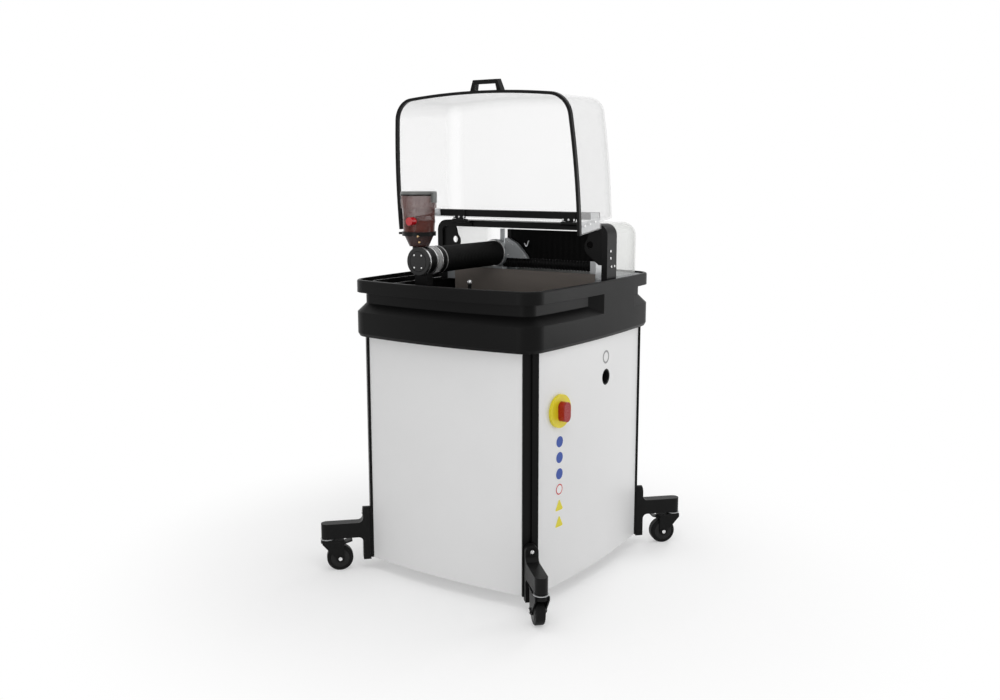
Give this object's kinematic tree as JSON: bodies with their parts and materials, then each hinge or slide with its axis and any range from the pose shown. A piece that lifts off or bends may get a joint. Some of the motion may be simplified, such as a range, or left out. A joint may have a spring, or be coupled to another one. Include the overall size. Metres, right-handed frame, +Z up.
{
  "type": "waterjet cutting machine",
  "caption": "Waterjet cutting machine on casters: pale cabinet, black bowed tray, sliding arm with abrasive hopper, clear hinged lid and rear cover.",
  "frame": {"origin": "on the floor under the centre of the cabinet", "axes": "+Z up, the front with the lid handle faces -Y, the switch is on the +X side"},
  "size_m": [0.7802, 0.8342, 1.398],
  "materials": {
    "black_metal": "satin",
    "pale_panel": "satin",
    "black_plastic": "matte",
    "deck_grey": "satin",
    "steel": "satin",
    "bright_metal": "satin",
    "cast_metal": "cast",
    "machined": "machined",
    "clear": "polished",
    "smoky": "polished",
    "garnet": "matte",
    "dark_rubber": "matte",
    "tyre": "matte",
    "yellow": "gloss",
    "red": "gloss"
  },
  "bodies": {
    "cabinet": {"corner_posts": "black_metal", "base_plate": "pale_panel", "tray": "black_plastic", "splash_wall": "steel", "rear_deck": "deck_grey", "slat_bed": "steel", "side_rails": "bright_metal", "clamp_post": "black_metal", "hinge_hoop": "black_metal", "hinge_plates": "black_metal", "hinge_brackets": "black_metal", "rear_cover": "clear", "x_rail": "machined", "x_screw": "machined", "x_end_blocks": "bright_metal", "bellows_left": "dark_rubber", "bellows_right": "dark_rubber", "curtain": "dark_rubber", "switch_plate": "yellow", "hose_port": "black_plastic", "front_panel": "pale_panel", "right_panel": "pale_panel", "back_panel": "pale_panel", "left_panel": "pale_panel", "caster_brackets": "black_metal"},
    "carriage": {"carriage": "cast_metal"},
    "arm": {"arm_tube": "machined", "arm_sleeve": "dark_rubber", "head_body": "black_metal", "head_rings": "bright_metal", "collar": "machined", "end_cap": "black_plastic", "nozzle": "black_metal", "feed_block": "black_plastic", "hopper_cone": "smoky", "hopper_cup": "smoky", "abrasive_fill": "garnet", "hopper_lid": "black_plastic", "hopper_band": "black_plastic", "hopper_knob": "red"},
    "lid": {"lid_dome": "clear", "lid_trim": "black_plastic", "lid_handle": "black_plastic", "hinge_bar": "black_metal", "side_brackets": "bright_metal", "hinge_leaves": "black_metal"},
    "switch_knob": {"switch_knob": "red"},
    "fork_front_right": {"fork_front_right": "black_metal"},
    "wheel_front_right": {"wheel_front_right": "tyre"},
    "fork_rear_right": {"fork_rear_right": "black_metal"},
    "wheel_rear_right": {"wheel_rear_right": "tyre"},
    "fork_rear_left": {"fork_rear_left": "black_metal"},
    "wheel_rear_left": {"wheel_rear_left": "tyre"},
    "fork_front_left": {"fork_front_left": "black_metal"},
    "wheel_front_left": {"wheel_front_left": "tyre"}
  },
  "joints": [
    {"name": "lid_hinge", "type": "hinge", "parent": "cabinet", "child": "lid", "pos_m": [0, 0.033, 1.003], "axis": [1, 0, 0], "range_deg": [0, 85]},
    {"name": "x_slide", "type": "slide", "parent": "cabinet", "child": "carriage", "axis": [1, 0, 0], "range_m": [-0.045, 0.26], "deforming": ["bellows_left", "bellows_right", "curtain"]},
    {"name": "y_slide", "type": "slide", "parent": "carriage", "child": "arm", "axis": [0, 1, 0], "range_m": [0, 0.1], "deforming": ["arm_sleeve"]},
    {"name": "switch_turn", "type": "hinge", "parent": "cabinet", "child": "switch_knob", "pos_m": [0.29556, -0.194, 0.523], "axis": [0.9966, -0.0818, 0], "range_deg": [0, 90]},
    {"name": "swivel_front_right", "type": "hinge", "parent": "cabinet", "child": "fork_front_right", "pos_m": [0.36539, -0.39239, 0.1], "axis": [0, 0, 1], "continuous": true},
    {"name": "spin_front_right", "type": "hinge", "parent": "fork_front_right", "child": "wheel_front_right", "pos_m": [0.34064, -0.36764, 0.038], "axis": [0.7071, 0.7071, 0], "continuous": true},
    {"name": "swivel_rear_right", "type": "hinge", "parent": "cabinet", "child": "fork_rear_right", "pos_m": [0.36539, 0.39239, 0.1], "axis": [0, 0, 1], "continuous": true},
    {"name": "spin_rear_right", "type": "hinge", "parent": "fork_rear_right", "child": "wheel_rear_right", "pos_m": [0.34064, 0.36764, 0.038], "axis": [-0.7071, 0.7071, 0], "continuous": true},
    {"name": "swivel_rear_left", "type": "hinge", "parent": "cabinet", "child": "fork_rear_left", "pos_m": [-0.36539, 0.39239, 0.1], "axis": [0, 0, 1], "continuous": true},
    {"name": "spin_rear_left", "type": "hinge", "parent": "fork_rear_left", "child": "wheel_rear_left", "pos_m": [-0.34064, 0.36764, 0.038], "axis": [-0.7071, -0.7071, 0], "continuous": true},
    {"name": "swivel_front_left", "type": "hinge", "parent": "cabinet", "child": "fork_front_left", "pos_m": [-0.36539, -0.39239, 0.1], "axis": [0, 0, 1], "continuous": true},
    {"name": "spin_front_left", "type": "hinge", "parent": "fork_front_left", "child": "wheel_front_left", "pos_m": [-0.34064, -0.36764, 0.038], "axis": [0.7071, -0.7071, 0], "continuous": true}
  ]
}
